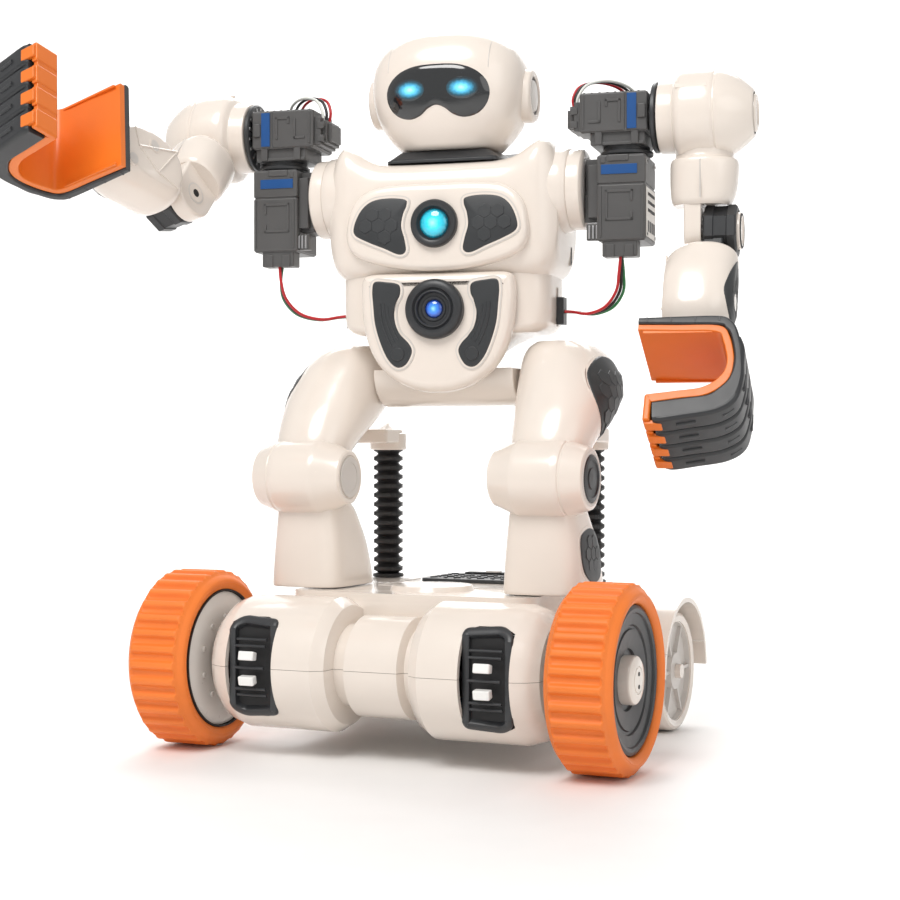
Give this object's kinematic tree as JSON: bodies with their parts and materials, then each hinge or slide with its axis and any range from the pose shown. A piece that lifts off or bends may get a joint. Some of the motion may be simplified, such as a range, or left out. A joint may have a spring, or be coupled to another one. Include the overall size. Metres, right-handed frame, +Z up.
{
  "type": "humanoid robot toy",
  "caption": "Humanoid robot toy on a two-wheel-drive base, with turning head and waist, servo shoulders, jointed arms and scoop hands.",
  "frame": {"origin": "where the waist's vertical axis meets the flat underside of the belly pan, 14 mm above the floor that the wheels stand on", "axes": "+Z up, -Y the way the robot faces, +X to the robot's left"},
  "size_m": [0.2689, 0.2348, 0.2885],
  "materials": {
    "cream_plastic": "glossy injection-moulded ABS",
    "dark_plastic": "satin dark grey ABS",
    "servo_plastic": "satin grey nylon",
    "tyre_rubber": "soft orange rubber with cross ribs",
    "orange_plastic": "satin orange lining",
    "black_gloss": "polished smoked window",
    "hose_rubber": "corrugated black hose",
    "pale_plastic": "satin pale grey",
    "cyan_lens": "cyan lamp lens",
    "blue_lens": "blue coated camera lens",
    "lamp_white": "white light guide",
    "eye_glow": "lit cyan eye lamp",
    "circuit_board": "green board with dark parts",
    "battery_wrap": "shrink-wrapped cells",
    "motor_case": "plated motor case",
    "wire_insulation": "red, black and white PVC wires"
  },
  "bodies": {
    "chassis": {"base_upper_shell": "cream_plastic", "base_lower_shell": "cream_plastic", "headlight_bezels": "dark_plastic", "headlight_lenses": "lamp_white", "deck_plate": "dark_plastic", "battery_pack": "battery_wrap", "drive_motors": "motor_case", "shins": "cream_plastic", "knees": "cream_plastic", "thighs": "cream_plastic", "leg_inlays": "dark_plastic", "leg_hoses": "hose_rubber", "pelvis": "cream_plastic"},
    "left_wheel": {"left_tyre": "tyre_rubber", "left_wheel": "dark_plastic", "left_hub_cap": "cream_plastic"},
    "right_wheel": {"right_tyre": "tyre_rubber", "right_wheel": "dark_plastic", "right_hub_cap": "cream_plastic"},
    "left_roller": {"left_roller": "cream_plastic"},
    "right_roller": {"right_roller": "cream_plastic"},
    "torso": {"torso_front_shell": "cream_plastic", "torso_rear_shell": "cream_plastic", "brow_panel": "cream_plastic", "belly_plate": "cream_plastic", "front_inlays": "dark_plastic", "lamp_bezel": "dark_plastic", "lamp_lens": "cyan_lens", "camera_bezel": "dark_plastic", "camera_lens": "blue_lens", "main_board": "circuit_board", "wire_sockets": "servo_plastic", "shoulder_hubs": "cream_plastic", "neck_collar": "dark_plastic", "torso_leads": "wire_insulation", "left_lower_servo": "servo_plastic", "right_lower_servo": "servo_plastic"},
    "power_switch": {"power_switch": "dark_plastic"},
    "head": {"head_shell": "cream_plastic", "visor": "black_gloss", "eye_lamps": "eye_glow", "ear_caps": "pale_plastic"},
    "left_upper_servo": {"left_upper_servo": "servo_plastic", "left_servo_leads": "wire_insulation"},
    "left_shoulder": {"left_pitch_horn": "servo_plastic", "left_shoulder_shell": "cream_plastic"},
    "left_upper_arm": {"left_upper_arm": "cream_plastic"},
    "left_forearm": {"left_forearm": "cream_plastic", "left_forearm_inlay": "dark_plastic"},
    "left_hand": {"left_hand_shell": "dark_plastic", "left_hand_liner": "orange_plastic"},
    "right_upper_servo": {"right_upper_servo": "servo_plastic", "right_servo_leads": "wire_insulation"},
    "right_shoulder": {"right_pitch_horn": "servo_plastic", "right_shoulder_shell": "cream_plastic"},
    "right_upper_arm": {"right_upper_arm": "cream_plastic"},
    "right_forearm": {"right_forearm": "cream_plastic", "right_forearm_inlay": "dark_plastic"},
    "right_hand": {"right_hand_shell": "dark_plastic", "right_hand_liner": "orange_plastic"}
  },
  "joints": [
    {"name": "left_wheel_spin", "type": "hinge", "parent": "chassis", "child": "left_wheel", "pos_m": [0.0863, -0.057, 0.021], "axis": [1, 0, 0], "continuous": true},
    {"name": "right_wheel_spin", "type": "hinge", "parent": "chassis", "child": "right_wheel", "pos_m": [-0.0863, -0.057, 0.021], "axis": [1, 0, 0], "continuous": true},
    {"name": "left_roller_spin", "type": "hinge", "parent": "chassis", "child": "left_roller", "pos_m": [0.074, 0.053, 0.011], "axis": [1, 0, 0], "continuous": true},
    {"name": "right_roller_spin", "type": "hinge", "parent": "chassis", "child": "right_roller", "pos_m": [-0.074, 0.053, 0.011], "axis": [1, 0, 0], "continuous": true},
    {"name": "waist_turn", "type": "hinge", "parent": "chassis", "child": "torso", "pos_m": [0, 0, 0.136], "axis": [0, 0, 1], "range_deg": [-23, 7]},
    {"name": "head_turn", "type": "hinge", "parent": "torso", "child": "head", "pos_m": [0, 0, 0.225], "axis": [0, 0, 1], "range_deg": [-60, 60]},
    {"name": "power_switch_slide", "type": "slide", "parent": "torso", "child": "power_switch", "axis": [0.9903, 0.1392, 0], "range_m": [-0.0035, 0.0035]},
    {"name": "left_shoulder_yaw", "type": "hinge", "parent": "torso", "child": "left_upper_servo", "pos_m": [0.07257, 0.00818, 0.222], "axis": [0, 0, 1], "range_deg": [-20, 45]},
    {"name": "left_shoulder_swing", "type": "hinge", "parent": "left_upper_servo", "child": "left_shoulder", "pos_m": [0.08445, 0.00985, 0.236], "axis": [-0.9903, -0.1392, 0], "range_deg": [-40, 150]},
    {"name": "left_arm_roll", "type": "hinge", "parent": "left_shoulder", "child": "left_upper_arm", "pos_m": [0.10327, 0.01249, 0.216], "axis": [0, 0, 1], "range_deg": [-10, 60]},
    {"name": "left_elbow", "type": "hinge", "parent": "left_upper_arm", "child": "left_forearm", "pos_m": [0.10327, 0.01249, 0.19], "axis": [-0.9903, -0.1392, 0], "range_deg": [-30, 58]},
    {"name": "left_wrist", "type": "hinge", "parent": "left_forearm", "child": "left_hand", "pos_m": [0.10767, -0.01163, 0.14757], "axis": [-0.0696, 0.4951, 0.866], "range_deg": [-90, 90]},
    {"name": "right_shoulder_yaw", "type": "hinge", "parent": "torso", "child": "right_upper_servo", "pos_m": [-0.07201, -0.01214, 0.222], "axis": [0, 0, 1], "range_deg": [-45, 45]},
    {"name": "right_shoulder_swing", "type": "hinge", "parent": "right_upper_servo", "child": "right_shoulder", "pos_m": [-0.08389, -0.01381, 0.236], "axis": [-0.9903, -0.1392, 0], "range_deg": [-90, 100]},
    {"name": "right_arm_roll", "type": "hinge", "parent": "right_shoulder", "child": "right_upper_arm", "pos_m": [-0.10058, -0.03163, 0.22314], "axis": [-0.1066, 0.7586, 0.6428], "range_deg": [-40, 30]},
    {"name": "right_elbow", "type": "hinge", "parent": "right_upper_arm", "child": "right_forearm", "pos_m": [-0.09781, -0.05135, 0.20643], "axis": [-0.9611, 0.0869, -0.262], "range_deg": [-58, 30]},
    {"name": "right_wrist", "type": "hinge", "parent": "right_forearm", "child": "right_hand", "pos_m": [-0.10658, -0.09779, 0.21939], "axis": [0.1594, 0.9496, -0.2698], "range_deg": [-90, 90]}
  ]
}
